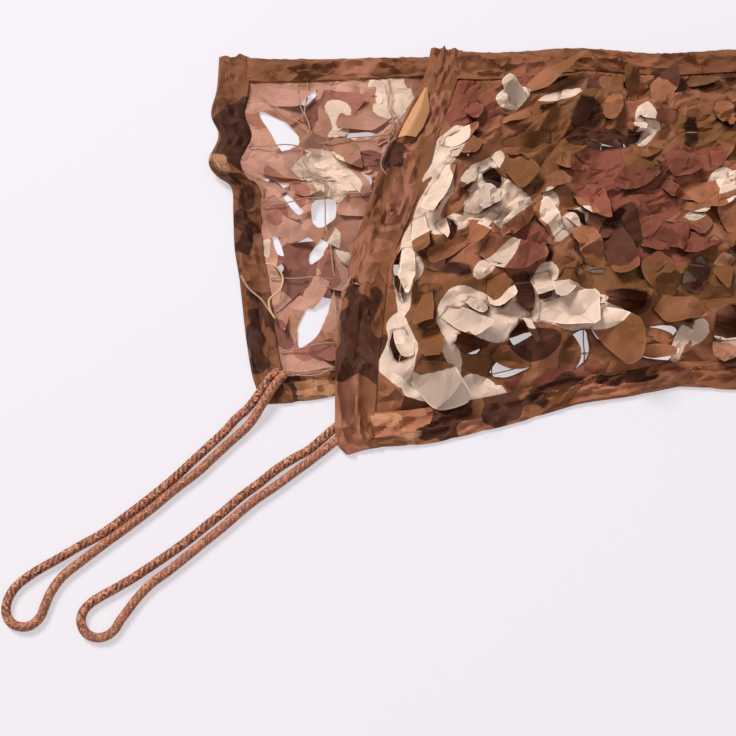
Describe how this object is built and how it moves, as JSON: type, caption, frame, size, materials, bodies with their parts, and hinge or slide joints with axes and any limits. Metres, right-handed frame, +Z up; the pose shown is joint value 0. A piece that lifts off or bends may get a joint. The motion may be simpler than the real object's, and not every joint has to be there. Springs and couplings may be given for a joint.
{
  "type": "camouflage netting",
  "caption": "Folded length of leaf-cut camouflage net on a square string mesh, with taped edges and braided cord loops at the near corners",
  "frame": {"origin": "centre of the folded net's outline, without the cord loops, on the surface it lies on", "axes": "+X along the net's length towards the fold, +Y across it away from the corner loops, +Z up"},
  "size_m": [0.6574, 0.5041, 0.0353],
  "materials": {
    "scrim": "thin printed coated cloth, matt",
    "tape": "printed woven tape, folded and sewn",
    "string": "thin twisted tan string",
    "cord": "round braided cord, brown with flecks"
  },
  "bodies": {
    "root": {"scrim_panel": "scrim", "string_net": "string", "tape_near_side": "tape", "tape_far_side": "tape", "tape_lower_end": "tape", "tape_upper_end": "tape", "cord_loop_lower": "cord", "cord_loop_upper": "cord", "tie_string": "string"}
  },
  "joints": []
}
